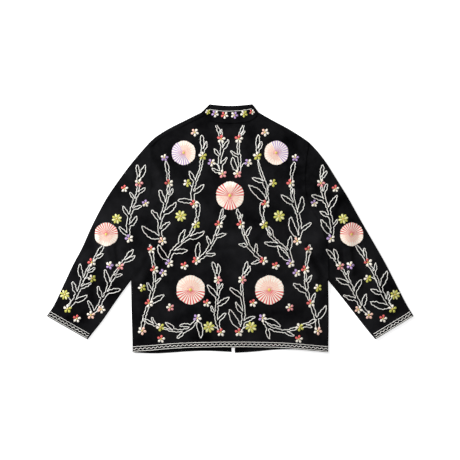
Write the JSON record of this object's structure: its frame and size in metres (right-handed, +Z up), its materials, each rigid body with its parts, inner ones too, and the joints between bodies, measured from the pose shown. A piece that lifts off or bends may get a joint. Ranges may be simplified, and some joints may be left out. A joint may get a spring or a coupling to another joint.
{
  "type": "embroidered jacket",
  "caption": "Black boxy stand-collar jacket laid flat with its back up, with long dropped sleeves, ivory corded sprays, small blossoms, raised satin-stitch rosettes and corded borders.",
  "frame": {"origin": "middle of the laid jacket's outline, on the surface that it lies on", "axes": "+Z up out of the back of the jacket, +Y towards the collar, +X across from cuff to cuff"},
  "size_m": [1.0446, 0.7094, 0.008],
  "materials": {
    "black_cloth": "matt woven black cloth with a slight nap",
    "thread": "glossy embroidery thread and cord in ivory, peach, pink, coral, lilac and yellow-green"
  },
  "bodies": {
    "root": {"back": "black_cloth", "front_left": "black_cloth", "front_right": "black_cloth", "sleeve_left": "black_cloth", "sleeve_right": "black_cloth", "collar": "black_cloth", "rosette_centre": "thread", "rosette_yoke_left": "thread", "rosette_yoke_right": "thread", "rosette_low_left": "thread", "rosette_low_right": "thread", "rosette_sleeve_left": "thread", "rosette_sleeve_right": "thread"}
  },
  "joints": []
}
